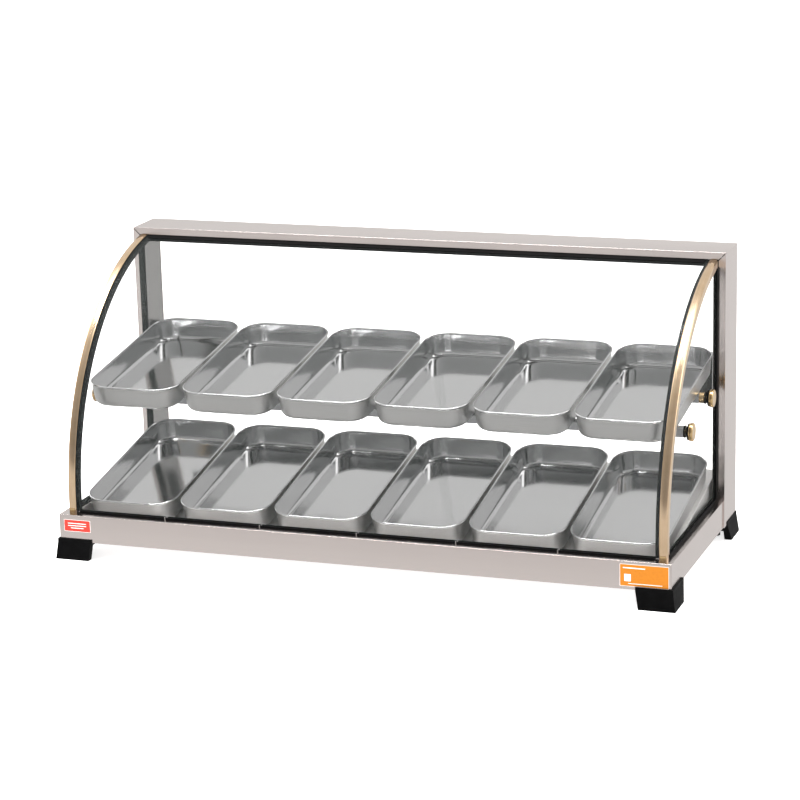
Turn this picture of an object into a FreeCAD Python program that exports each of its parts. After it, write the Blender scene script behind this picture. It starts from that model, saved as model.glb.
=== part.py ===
import FreeCAD, Part
import math
import os
from types import SimpleNamespace

import Sketcher
from FreeCAD import Placement, Rotation, Vector

# Countertop hot food display case: a shallow heated base on four rubber feet, a bent
# stainless portal along its back edge, one curved front pane, two flat side panes, two
# sliding rear doors, a shelf of two cross bars, and two rows of six loose food pans.
#
# Frame: millimetres, +Z up, the customer's side faces -Y, +X is the customer's right.
# The origin is on the counter, under the middle of the case.

doc = FreeCAD.newDocument("hot_food_display_case")

# ---------------------------------------------------------------- driving dimensions

SIZES = {
    # base
    "base_width": 1000,
    "base_depth": 413,
    "foot_height": 29,
    "fascia_height": 44,
    "base_gauge": 1.2,
    "front_flange": 26.2,
    "side_flange": 20,
    "panel_setback": 15,
    "deck_lip": 12,
    "deck_rear_inset": 19,
    # rear portal: 20 mm deep in section, closed inwards by the jambs and the soffit
    "case_height": 473,
    "portal_overhang": 2,
    "portal_gauge": 2,
    "portal_depth": 80,
    "portal_return": 11.5,
    "portal_section": 20,
    "jamb_gauge": 1.2,
    "jamb_depth": 58,
    "mitre_gap": 1.5,
    # panes
    "pane_gauge": 4,
    "pane_setback": 17,
    "pane_radius": 376,
    "curve_centre_height": 89,
    "front_pane_sweep": 82,
    "trim_sweep": 80.5,
    "side_pane_inset": 11.5,
    "side_pane_rear": 341,
    "seal_gauge": 3,
    "seal_width": 18.5,
    "trim_width": 13,
    "trim_gauge": 2,
    "trim_side_gauge": 1.2,
    "trim_side_depth": 11,
    "gasket_floor": 1.5,
    "side_gasket_height": 6,
    "front_gasket_height": 3.2,
    "gasket_lip": 2.8,
    "gasket_gap": 2,
    "gasket_clip_gauge": 0.6,
    "post_gasket_outer_lip": 9,
    "post_gasket_inner_lip": 2,
    "post_gasket_depth": 12,
    "post_gasket_top_gap": 4,
    "beam_gasket_start": 78.9,
    "beam_gasket_margin": 0.3,
    "beam_gasket_lip": 0.9,
    "trim_clip_width": 9,
    "trim_clip_height": 7,
    "trim_clip_gauge": 1.5,
    # food pans
    "pan_width": 155,
    "pan_length": 310,
    "pan_depth": 35.5,
    "pan_corner": 38,
    "pan_draft": 6,
    "pan_floor_radius": 8,
    "pan_gauge": 0.8,
    "pan_bead": 1.3,
    "pan_pitch": 160.8,
    "lower_setback": 40.4,
    "lower_rise": 87.05,
    "lower_tilt": 10.5,
    "upper_setback": 68.6,
    "upper_rise": 267,
    "upper_tilt": 8.2,
    # shelf
    "bar_size": 14,
    "bar_gauge": 1.5,
    "bar_plug_length": 10,
    "front_bar_reach": 147,
    "rear_bar_reach": 279,
    "cap_radius": 14,
    "cap_length": 7,
    "washer_radius": 13,
    "washer_length": 2,
    "spacer_radius": 8.5,
    "spacer_length": 8,
    "stud_radius": 3,
    "stud_engagement": 9,
    # rear doors and their tracks
    "track_depth": 20,
    "track_height": 8,
    "top_track_height": 12,
    "track_floor": 3,
    "groove": 5,
    "leaf_gauge": 4,
    "leaf_end_gap": 3,
    "leaf_overlap": 6,
    "leaf_top_gap": 3,
    "inner_leaf_setback": 3.5,
    "leaf_pitch": 9,
    "pull_width": 24,
    "pull_height": 70,
    "pull_gauge": 3,
    "pull_rim": 4,
    "pull_floor": 1,
    "pull_edge": 34,
    # controls
    "knob_radius": 13,
    "knob_length": 12,
    "knob_gap": 0.5,
    "knob_bore_depth": 14,
    "knob_place": 250,
    "thermostat_half_width": 17,
    "thermostat_half_height": 14,
    "thermostat_depth": 28,
    "shaft_radius": 3,
    "running_gap": 0.05,
    "switch_width": 21,
    "switch_height": 15,
    "switch_bezel": 2.5,
    "switch_depth": 20,
    "switch_bezel_rise": 2,
    "switch_pocket_depth": 8,
    "switch_place": 180,
    "rocker_tilt": 9,
    "lamp_radius": 5,
    "lamp_lens_length": 2.5,
    "lamp_body_length": 14,
    "lamp_place": 140,
    "gland_radius": 11,
    "gland_bore": 4,
    "gland_length": 12,
    "gland_thread_length": 9,
    "gland_thread_gauge": 3,
    "gland_place": 400,
    # heating
    "element_radius": 4,
    "element_half_length": 400,
    "element_half_spacing": 60,
    "element_rise": 3,
    "reflector_half_length": 440,
    "reflector_half_width": 110,
    "reflector_gauge": 1,
    "saddle_half_width": 6,
    "saddle_spacing": 300,
    "saddle_margin": 8,
    "terminal_offset": 35,
    "terminal_length": 35,
    "terminal_gap": 22,
    "terminal_depth": 18,
    "terminal_height": 16,
}


class Dim:
    """A size: its value in millimetres or degrees, and the sheet expression that gives it."""

    def __init__(self, value, text):
        self.value = value
        self.text = text

    def joined(self, sign, other, value, flip=False):
        first, second = (other.text, self.text) if flip else (self.text, other.text)
        return Dim(value, f"({first} {sign} {second})")

    def __add__(self, other):
        other = dim(other)
        return self.joined("+", other, self.value + other.value)

    def __sub__(self, other):
        other = dim(other)
        return self.joined("-", other, self.value - other.value)

    def __rsub__(self, other):
        other = dim(other)
        return self.joined("-", other, other.value - self.value, flip=True)

    def __mul__(self, other):
        other = dim(other)
        return self.joined("*", other, self.value * other.value)

    def __truediv__(self, other):
        other = dim(other)
        return self.joined("/", other, self.value / other.value)

    def __neg__(self):
        return Dim(-self.value, f"(-1 * {self.text})")

    __radd__ = __add__
    __rmul__ = __mul__


def dim(size):
    """The size itself, or a plain number as a size."""
    return size if isinstance(size, Dim) else Dim(float(size), f"({float(size)})")


def sine(angle):
    return Dim(math.sin(math.radians(angle.value)), f"sin({angle.text})")


def cosine(angle):
    return Dim(math.cos(math.radians(angle.value)), f"cos({angle.text})")


def root(size):
    return Dim(math.sqrt(size.value), f"sqrt({size.text})")


sheet = doc.addObject("Spreadsheet::Sheet", "sheet")
for row, (alias, number) in enumerate(SIZES.items(), start=1):
    sheet.set(f"A{row}", alias)
    sheet.set(f"B{row}", str(number))
    sheet.setAlias(f"B{row}", alias)
doc.recompute()
d = SimpleNamespace(**{alias: Dim(number, f"sheet.{alias}") for alias, number in SIZES.items()})

# Places that many pieces share.
half = d.base_width / 2
front = -(d.base_depth / 2)
rear = d.base_depth / 2
base_top = d.foot_height + d.fascia_height
portal_front = rear - d.portal_depth
portal_under = d.case_height - d.portal_gauge
jamb_rear = portal_front + d.jamb_depth
soffit_under = d.case_height - d.portal_section
pane_front = front + d.pane_setback
curve_y = pane_front + d.pane_radius
curve_z = d.curve_centre_height
pan_step = d.pan_pitch
LEFT, RIGHT = -1, 1
SIDES = {"left": LEFT, "right": RIGHT}

subparts = []

# ---------------------------------------------------------------- building helpers


def bind(thing, name, size):
    thing.setExpression(name, dim(size).text)


def keep(thing, label):
    """Names a finished piece and lists it for writing."""
    thing.Label = label
    subparts.append(thing)
    return thing


def block(name, x, y, z):
    """A cuboid between a low and a high limit along each axis."""
    box = doc.addObject("Part::Box", name)
    for side, axis, (low, high) in zip(("Length", "Width", "Height"), "xyz", (x, y, z)):
        bind(box, side, dim(high) - low)
        bind(box, f"Placement.Base.{axis}", low)
    return box


TURNS = {
    "x": Rotation(Vector(0, 1, 0), 90),
    "y": Rotation(Vector(1, 0, 0), -90),
    "z": Rotation(),
}


def rod(name, axis, radius, length, start):
    """A cylinder that runs from start in the positive direction of one axis."""
    cylinder = doc.addObject("Part::Cylinder", name)
    cylinder.Placement = Placement(Vector(), TURNS[axis])
    bind(cylinder, "Radius", radius)
    bind(cylinder, "Height", length)
    for letter, place in zip("xyz", start):
        bind(cylinder, f"Placement.Base.{letter}", place)
    return cylinder


def fuse(name, pieces):
    joined = doc.addObject("Part::MultiFuse", name)
    joined.Shapes = pieces
    joined.Refine = True
    return joined


def group(name, pieces):
    """Separate solids that share one node, such as identical fasteners."""
    compound = doc.addObject("Part::Compound", name)
    compound.Links = pieces
    return compound


def cut(name, base, tool):
    """The base without the tool, which may be a list of tools."""
    difference = doc.addObject("Part::Cut", name)
    difference.Base = base
    difference.Tool = fuse(name + "_tools", tool) if isinstance(tool, list) else tool
    return difference


def from_side(side, near, far):
    """The X limits of a span measured inwards from one side of the base."""
    if side == LEFT:
        return (-half + near, -half + far)
    return (half - far, half - near)


def origin_plane(body, role):
    return next(item for item in body.Origin.OriginFeatures if item.Role == role)


def new_sketch(body, role, name, offset=None):
    sketch = body.newObject("Sketcher::SketchObject", name)
    sketch.AttachmentSupport = [(origin_plane(body, role), "")]
    sketch.MapMode = "FlatFace"
    if offset is not None:
        bind(sketch, "AttachmentOffset.Base.z", offset)
    return sketch


def pin_point(sketch, edge, corner, place):
    """Ties a sketch point to the sketch's origin by two driven distances."""
    for kind, size in zip(("DistanceX", "DistanceY"), place):
        number = sketch.addConstraint(
            Sketcher.Constraint(kind, -1, 1, edge, corner, dim(size).value))
        sketch.setExpression(f"Constraints[{number}]", dim(size).text)


def outline(sketch, points, arcs=None):
    """A closed outline through points. arcs maps an edge's number to its (radius, centre)."""
    arcs = arcs or {}
    ends = [Vector(dim(u).value, dim(v).value, 0) for u, v in points]
    flipped = {}
    for number, start in enumerate(ends):
        finish = ends[(number + 1) % len(ends)]
        flipped[number] = False
        if number not in arcs:
            sketch.addGeometry(Part.LineSegment(start, finish), False)
            continue
        radius, (mid_u, mid_v) = arcs[number]
        centre = Vector(dim(mid_u).value, dim(mid_v).value, 0)
        first = math.atan2(start.y - centre.y, start.x - centre.x)
        last = math.atan2(finish.y - centre.y, finish.x - centre.x)
        turn = (last - first + math.pi) % (2 * math.pi) - math.pi
        flipped[number] = turn < 0
        if turn < 0:
            first, last = last, first
        circle = Part.Circle(centre, Vector(0, 0, 1), dim(radius).value)
        sketch.addGeometry(Part.ArcOfCircle(circle, first, first + abs(turn)), False)
    for number, place in enumerate(points):
        begin = 2 if flipped[number] else 1
        before = (number - 1) % len(points)
        end = 1 if flipped[before] else 2
        sketch.addConstraint(Sketcher.Constraint("Coincident", before, end, number, begin))
        pin_point(sketch, number, begin, place)
    for number, (radius, _) in arcs.items():
        index = sketch.addConstraint(Sketcher.Constraint("Radius", number, dim(radius).value))
        sketch.setExpression(f"Constraints[{index}]", dim(radius).text)


def pad(name, role, points, length, offset=None, arcs=None, middle=False):
    """A body with one padded outline. On YZ_Plane the outline's (u, v) are (Y, Z)."""
    body = doc.addObject("PartDesign::Body", name)
    sketch = new_sketch(body, role, name + "_outline", offset)
    outline(sketch, points, arcs)
    feature = body.newObject("PartDesign::Pad", name + "_pad")
    feature.Profile = sketch
    bind(feature, "Length", length)
    if middle:
        feature.Midplane = True
    body.Tip = feature
    return body


def curve_point(radius, sweep):
    """A point of the front pane's curve: sweep is counted up from level with its centre."""
    return (curve_y - radius * cosine(sweep), curve_z + radius * sine(sweep))


def curved_strip(name, inner, outer, sweep, bottom, span):
    """A strip that stands straight from bottom up to the curve's centre and then follows it."""
    low_x, high_x = span
    points = [
        (curve_y - outer, bottom),
        (curve_y - outer, curve_z),
        curve_point(outer, sweep),
        curve_point(inner, sweep),
        (curve_y - inner, curve_z),
        (curve_y - inner, bottom),
    ]
    arcs = {1: (outer, (curve_y, curve_z)), 3: (inner, (curve_y, curve_z))}
    return pad(name, "YZ_Plane", points, dim(high_x) - low_x, offset=low_x, arcs=arcs)


# ---------------------------------------------------------------- base

base_underside = d.foot_height
flange_z = (base_top - d.base_gauge, base_top)
panel_face = rear - d.panel_setback
flange_rear = rear - d.portal_gauge
deck_front = front + d.front_flange
deck_rear = jamb_rear - d.deck_rear_inset


def deck_height(y):
    """The height of the pan-bearing slope of the heated deck at a distance along Y."""
    slope = sine(d.lower_tilt) / cosine(d.lower_tilt)
    under_rim = d.pan_depth / cosine(d.lower_tilt)
    return d.lower_rise - under_rim + (y - front - d.lower_setback) * slope


def make_base_housing():
    """Front and side fascias with the folded flange round the top, one bent sheet."""
    gauge = d.base_gauge
    full = (-half, half)
    upright = (base_underside, base_top - gauge)
    pieces = [
        block("housing_front", full, (front, front + gauge), upright),
        block("housing_front_flange", full, (front, deck_front), flange_z),
        block("housing_rear_flange", full, (deck_rear + gauge, flange_rear), flange_z),
    ]
    for name, side in SIDES.items():
        wall = from_side(side, 0, gauge)
        pieces.append(block(f"housing_{name}", wall, (front + gauge, panel_face), upright))
        ledge = from_side(side, 0, d.side_flange)
        pieces.append(block(f"housing_{name}_flange", ledge, (deck_front, deck_rear + gauge),
                            flange_z))
    keep(fuse("base_housing", pieces), "base_housing")


def make_heated_deck():
    """The sloping inner deck that the lower pans lie on, let into the top of the base."""
    gauge = d.base_gauge
    lip = d.deck_lip
    under = gauge / cosine(d.lower_tilt)
    points = [
        (deck_front - lip, flange_z[0]),
        (deck_front + gauge, flange_z[0]),
        (deck_front + gauge, deck_height(deck_front + gauge)),
        (deck_rear + gauge, deck_height(deck_rear + gauge)),
        (deck_rear + gauge, base_top + gauge),
        (deck_rear + gauge + lip, base_top + gauge),
        (deck_rear + gauge + lip, base_top),
        (deck_rear, base_top),
        (deck_rear, deck_height(deck_rear) - under),
        (deck_front, deck_height(deck_front) - under),
        (deck_front, flange_z[0] - gauge),
        (deck_front - lip, flange_z[0] - gauge),
    ]
    width = d.base_width - 2 * d.side_flange
    sheet_metal = pad("deck_sheet", "YZ_Plane", points, width, middle=True)
    crossing = front + d.lower_setback + (
        (base_top - d.lower_rise + d.pan_depth / cosine(d.lower_tilt))
        * cosine(d.lower_tilt) / sine(d.lower_tilt))
    cheek = [
        (deck_front + gauge, deck_height(deck_front + gauge) - under),
        (deck_front + gauge, base_top),
        (crossing, base_top),
        (deck_rear + gauge, deck_height(deck_rear + gauge)),
        (deck_rear + gauge, flange_z[0]),
        (crossing, flange_z[0]),
    ]
    pieces = [sheet_metal]
    for name, side in SIDES.items():
        low, _ = from_side(side, d.side_flange, d.side_flange + gauge)
        pieces.append(pad(f"deck_cheek_{name}", "YZ_Plane", cheek, gauge, offset=low))
    keep(fuse("heated_deck", pieces), "heated_deck")


FOOT_TOP = {"outer": 3, "inner_x": 55, "inner_y": 62}
FOOT_SOLE = {"outer_x": 7, "outer_y": 6, "inner_x": 50, "inner_y": 48}
FOOT_LIP = 5
FOOT_WALL = 12
FOOT_CEILING = 5
FOOT_BOSS_RADIUS = 9
FOOT_SCREW_INSET = 26
FOOT_SCREW_RADIUS = 2.5
FOOT_SCREW_DEPTH = 14
FOOT_SCREW_HEAD = {"radius": 5, "height": 3}
BEYOND = 10  # how far a cutting block runs past the piece that it cuts


def foot_screw_place(side, end):
    x = side * (half - FOOT_SCREW_INSET)
    y = end * (rear - FOOT_SCREW_INSET)
    return x, y


def make_foot(label, side, end):
    """A hollow rubber foot that wraps the base's corner, with a lip and a screw boss."""
    height = d.foot_height

    def limits(sign, outer, inner, edge):
        outside = sign * (edge + outer)
        inside = sign * (edge - inner)
        return (outside, inside) if sign < 0 else (inside, outside)

    sole_x = limits(side, FOOT_SOLE["outer_x"], FOOT_SOLE["inner_x"], half)
    sole_y = limits(end, FOOT_SOLE["outer_y"], FOOT_SOLE["inner_y"], rear)
    top_x = limits(side, FOOT_TOP["outer"], FOOT_TOP["inner_x"], half)
    top_y = limits(end, FOOT_TOP["outer"], FOOT_TOP["inner_y"], rear)
    wedge = doc.addObject("Part::Wedge", label + "_block")
    wedge.Placement = Placement(Vector(), Rotation(Vector(1, 0, 0), 90))
    for name, size in {
        "Xmin": sole_x[0], "Xmax": sole_x[1], "X2min": top_x[0], "X2max": top_x[1],
        "Zmin": -dim(sole_y[1]), "Zmax": -dim(sole_y[0]),
        "Z2min": -dim(top_y[1]), "Z2max": -dim(top_y[0]),
        "Ymin": dim(0), "Ymax": height,
    }.items():
        bind(wedge, name, size)
    lip = block(label + "_lip", top_x, top_y, (height, height + FOOT_LIP))
    clear = d.portal_overhang if end > 0 else 0
    far_x = FOOT_TOP["inner_x"] + BEYOND
    far_y = FOOT_TOP["inner_y"] + BEYOND
    corner = block(label + "_corner", limits(side, clear, far_x, half),
                   limits(end, 0, far_y, rear), (height, height + FOOT_LIP + BEYOND))
    hollow = block(label + "_hollow", limits(side, FOOT_SOLE["outer_x"] - FOOT_WALL, far_x, half),
                   limits(end, FOOT_SOLE["outer_y"] - FOOT_WALL, far_y, rear),
                   (0, height - FOOT_CEILING))
    shell = cut(label + "_shell", fuse(label + "_body", [wedge, lip]), [corner, hollow])
    x, y = foot_screw_place(side, end)
    boss = rod(label + "_boss", "z", FOOT_BOSS_RADIUS, height, (x, y, 0))
    depth = FOOT_SCREW_DEPTH + 1
    hole = rod(label + "_hole", "z", FOOT_SCREW_RADIUS, depth, (x, y, height - depth))
    keep(cut(label, fuse(label + "_bossed", [shell, boss]), hole), label)


def make_bottom():
    """The closing sheet under the base, and the screws that hold the feet through it."""
    gauge = d.base_gauge
    z = (base_underside, base_underside + gauge)
    inner = half - gauge
    plate = block("cover_plate", (-inner, inner), (front + gauge, panel_face - gauge), z)
    holes = []
    screws = []
    for side in (LEFT, RIGHT):
        for end in (-1, 1):
            x, y = foot_screw_place(side, end)
            name = f"foot_screw_{len(screws) + 1}"
            holes.append(rod(name + "_hole", "z", FOOT_SCREW_RADIUS, gauge, (x, y, z[0])))
            shank = rod(name + "_shank", "z", FOOT_SCREW_RADIUS, FOOT_SCREW_DEPTH + gauge,
                        (x, y, z[0] - FOOT_SCREW_DEPTH))
            head = rod(name + "_head", "z", FOOT_SCREW_HEAD["radius"],
                       FOOT_SCREW_HEAD["height"], (x, y, z[1]))
            screws.append(fuse(name, [shank, head]))
    keep(cut("bottom_cover", plate, holes), "bottom_cover")
    keep(group("foot_screws", screws), "foot_screws")


# ---------------------------------------------------------------- rear portal


def make_post(name, side):
    """A channel: outer web, mitred front return and rear return."""
    outer = -d.portal_overhang
    web_inner = outer + d.portal_gauge
    return_end = outer + d.portal_return
    gap = d.mitre_gap

    def x_at(inset):
        return side * (half - inset)

    top = d.case_height
    points = [
        (x_at(outer), base_top),
        (x_at(outer), top - gap),
        (x_at(return_end), top - d.portal_return - gap),
        (x_at(return_end), base_top),
    ]
    plate = pad(f"{name}_post_front", "XZ_Plane", points, d.portal_gauge,
                offset=-(portal_front + d.portal_gauge))
    depth = (portal_front + d.portal_gauge, rear)
    web = block(f"{name}_post_web", from_side(side, outer, web_inner), depth,
                (base_underside, portal_under))
    foot_of_front = block(f"{name}_post_toe", from_side(side, outer, web_inner),
                          (portal_front, portal_front + d.portal_gauge),
                          (base_underside, base_top))
    back = block(f"{name}_post_back", from_side(side, outer, return_end),
                 (rear - d.portal_gauge, rear), (base_underside, portal_under))
    keep(fuse(f"{name}_post", [plate, web, foot_of_front, back]), f"{name}_post")


def make_top_beam():
    """The channel across the top, with mitred front ends."""
    outer = half + d.portal_overhang
    top = d.case_height
    points = [
        (-outer, top),
        (outer, top),
        (outer - d.portal_return, top - d.portal_return),
        (-outer + d.portal_return, top - d.portal_return),
    ]
    face = pad("beam_front", "XZ_Plane", points, d.portal_gauge,
               offset=-(portal_front + d.portal_gauge))
    plate = block("beam_top", (-outer, outer), (portal_front + d.portal_gauge, rear),
                  (portal_under, top))
    inner = outer - d.portal_return
    back = block("beam_back", (-inner, inner), (rear - d.portal_gauge, rear),
                 (top - d.portal_return, portal_under))
    keep(fuse("top_beam", [face, plate, back]), "top_beam")


def make_jambs_and_soffit():
    """Angles that close the portal inwards and leave the door space behind them."""
    gauge = d.jamb_gauge
    inner = d.portal_section - d.portal_overhang
    depth = (portal_front, jamb_rear)
    back = (jamb_rear - gauge, jamb_rear)
    for name, side in SIDES.items():
        wall = block(f"{name}_jamb_wall", from_side(side, inner - gauge, inner), depth,
                     (base_top, soffit_under))
        leg = block(f"{name}_jamb_leg", from_side(side, 0, inner - gauge), back,
                    (base_top, soffit_under))
        keep(fuse(f"{name}_jamb", [wall, leg]), f"{name}_jamb")
    under = half - inner
    sheet_metal = block("soffit_plate", (-under, under), depth,
                        (soffit_under, soffit_under + gauge))
    leg = block("soffit_leg", (-half, half), back, (soffit_under + gauge, portal_under))
    keep(fuse("beam_soffit", [sheet_metal, leg]), "beam_soffit")


# ---------------------------------------------------------------- glass, seals and trims


def mirrored_span(inset):
    return (-half + inset, half - inset)


def make_panes():
    glass_foot = base_top + d.gasket_floor
    inner = d.pane_radius - d.pane_gauge
    span = mirrored_span(d.side_pane_inset)
    keep(curved_strip("front_glass", inner, d.pane_radius, d.front_pane_sweep,
                      glass_foot, span), "front_glass")
    edge = inner - d.seal_gauge
    back = front + d.side_pane_rear
    reach = curve_y - back
    top = curve_z + root(edge * edge - reach * reach)
    points = [
        (curve_y - edge, glass_foot),
        (curve_y - edge, curve_z),
        (back, top),
        (back, glass_foot),
    ]
    arcs = {1: (edge, (curve_y, curve_z))}
    for name, side in SIDES.items():
        low, _ = from_side(side, d.side_pane_inset, d.side_pane_inset + d.pane_gauge)
        label = f"side_glass_{name}"
        keep(pad(label, "YZ_Plane", points, d.pane_gauge, offset=low, arcs=arcs), label)


def make_curve_seals():
    """Black strips between the front pane and the curved edges of the side panes."""
    outer = d.pane_radius - d.pane_gauge
    strips = []
    for name, side in SIDES.items():
        span = from_side(side, d.side_pane_inset, d.side_pane_inset + d.seal_width)
        strips.append(curved_strip(f"curve_seal_{name}", outer - d.seal_gauge, outer,
                                   d.trim_sweep, base_top + d.gasket_floor, span))
    keep(group("curve_seals", strips), "curve_seals")


def make_brass_trims():
    """Brass corner strips: a face over the front pane and a leg over the side pane's edge."""
    outer = d.pane_radius + d.trim_gauge
    edge = d.side_pane_inset
    for name, side in SIDES.items():
        near = edge - d.trim_side_gauge
        face = curved_strip(f"trim_face_{name}", d.pane_radius, outer, d.trim_sweep,
                            base_top, from_side(side, near, near + d.trim_width))
        leg = curved_strip(f"trim_leg_{name}", outer - d.trim_side_depth, outer, d.trim_sweep,
                           base_top, from_side(side, near, edge))
        keep(fuse(f"brass_trim_{name}", [face, leg]), f"brass_trim_{name}")


def make_trim_clips():
    """Small brass tabs that close the lower ends of the trims."""
    face = pane_front - d.trim_gauge
    clips = []
    for name, side in SIDES.items():
        middle = d.side_pane_inset - d.trim_side_gauge + d.trim_width / 2
        reach = d.trim_clip_width / 2
        clips.append(block(f"trim_clip_{name}", from_side(side, middle - reach, middle + reach),
                           (face - d.trim_clip_gauge, face),
                           (base_top, base_top + d.trim_clip_height)))
    keep(group("trim_end_clips", clips), "trim_end_clips")


def make_base_gaskets():
    """The segmented channel under the front pane, its clips, and the side pane channels."""
    lip = d.gasket_lip
    pane_back = pane_front + d.pane_gauge
    z = (base_top, base_top + d.front_gasket_height)
    slot_z = (base_top + d.gasket_floor, z[1])
    end = half - d.side_pane_inset - d.seal_width
    stops = [-end] + [pan_step * k for k in range(-2, 3)] + [end]
    segments = []
    for number, (left, right) in enumerate(zip(stops, stops[1:]), start=1):
        left_gap = 0 if number == 1 else d.gasket_gap / 2
        right_gap = 0 if number == len(stops) - 1 else d.gasket_gap / 2
        span = (dim(left) + left_gap, dim(right) - right_gap)
        channel = block(f"front_channel_{number}", span, (pane_front - lip, pane_back + lip), z)
        slot = block(f"front_slot_{number}", span, (pane_front, pane_back), slot_z)
        segments.append(cut(f"front_gasket_{number}", channel, slot))
    keep(group("front_base_gasket", segments), "front_base_gasket")
    clips = []
    for number, middle in enumerate(stops[1:-1], start=1):
        reach = (d.gasket_gap - d.gasket_clip_gauge) / 2
        clips.append(block(f"gasket_clip_{number}", (middle - reach, middle + reach),
                           (pane_front - lip - d.gasket_clip_gauge, pane_front),
                           (base_top, z[1] + d.gasket_clip_gauge)))
    keep(group("gasket_clips", clips), "gasket_clips")
    channels = []
    side_lip = 2
    for name, side in SIDES.items():
        near = d.side_pane_inset
        far = near + d.pane_gauge
        y = (front + d.front_flange, portal_front - d.post_gasket_outer_lip)
        z = (base_top, base_top + d.side_gasket_height)
        channel = block(f"side_channel_{name}", from_side(side, near - side_lip, far + side_lip), y, z)
        slot = block(f"side_slot_{name}", from_side(side, near, far), y,
                     (base_top + d.gasket_floor, z[1]))
        channels.append(cut(f"side_gasket_{name}", channel, slot))
    keep(group("side_base_gaskets", channels), "side_base_gaskets")


def make_portal_gaskets():
    """Channels on the rear edges of the side panes and on the top edge of the front pane."""
    return_end = d.portal_return - d.portal_overhang
    jamb_face = d.portal_section - d.portal_overhang - d.jamb_gauge
    y = (portal_front - d.post_gasket_outer_lip, portal_front + d.post_gasket_depth)
    z = (base_top, soffit_under - d.post_gasket_top_gap)
    channels = []
    for name, side in SIDES.items():
        near = d.side_pane_inset
        channel = block(f"post_channel_{name}", from_side(side, return_end, jamb_face), y, z)
        slot = block(f"post_slot_{name}", from_side(side, near, near + d.pane_gauge),
                     (y[0], front + d.side_pane_rear), z)
        relief = block(f"post_relief_{name}", from_side(side, near + d.pane_gauge, jamb_face),
                       (y[0], portal_front - d.post_gasket_inner_lip), z)
        channels.append(cut(f"post_gasket_{name}", channel, [slot, relief]))
    keep(group("post_gaskets", channels), "post_gaskets")
    outer = d.pane_radius
    inner = outer - d.pane_gauge
    first, last = d.beam_gasket_start, d.front_pane_sweep
    end = last + d.beam_gasket_margin
    lip = d.beam_gasket_lip
    points = [
        curve_point(inner - lip, first),
        curve_point(outer + lip, first),
        curve_point(outer + lip, end),
        curve_point(inner - lip, end),
    ]
    centre = (curve_y, curve_z)
    arcs = {1: (outer + lip, centre), 3: (inner - lip, centre)}
    span = mirrored_span(d.side_pane_inset + d.seal_width)
    width = span[1] - span[0]
    strip = pad("beam_strip", "YZ_Plane", points, width, offset=span[0], arcs=arcs)
    points = [
        curve_point(inner, first),
        curve_point(outer, first),
        curve_point(outer, last),
        curve_point(inner, last),
    ]
    arcs = {1: (outer, centre), 3: (inner, centre)}
    slot = pad("beam_slot", "YZ_Plane", points, width, offset=span[0], arcs=arcs)
    keep(cut("beam_gasket", strip, slot), "beam_gasket")


# ---------------------------------------------------------------- shelf


def bar_centre(reach):
    """The (Y, Z) centre of a cross bar whose top face touches the pans at reach."""
    y = front + reach
    slope = sine(d.upper_tilt) / cosine(d.upper_tilt)
    drop = d.pan_depth / cosine(d.upper_tilt)
    z = d.upper_rise - drop + (reach - d.upper_setback) * slope
    lean = d.bar_size / 2
    return (y + lean * sine(d.upper_tilt), z - lean * cosine(d.upper_tilt))


def make_bar(label, reach, end_inset):
    """A square tube across the case, turned to the slope of the pans."""
    y, z = bar_centre(reach)
    size = d.bar_size
    lean = d.upper_tilt
    span = mirrored_span(end_inset)

    def corner(u, v):
        return (y + u * cosine(lean) - v * sine(lean), z + u * sine(lean) + v * cosine(lean))

    def square(reach_out):
        return [corner(-reach_out, -reach_out), corner(reach_out, -reach_out),
                corner(reach_out, reach_out), corner(-reach_out, reach_out)]

    outside = pad(label + "_outside", "YZ_Plane", square(size / 2), span[1] - span[0],
                  offset=span[0])
    inside = square(size / 2 - d.bar_gauge)
    hollow = pad(label + "_hollow", "YZ_Plane", inside, span[1] - span[0], offset=span[0])
    tube = cut(label + "_tube", outside, hollow)
    plugs = []
    for name, side in SIDES.items():
        low, high = from_side(side, end_inset, end_inset + d.bar_plug_length)
        plug = pad(f"{label}_plug_{name}", "YZ_Plane", inside, high - low, offset=low)
        bore = rod(f"{label}_bore_{name}", "x", d.stud_radius, high - low, (low, y, z))
        plugs.append(cut(f"{label}_end_{name}", plug, bore))
    keep(fuse(label, [tube] + plugs), label)


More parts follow.
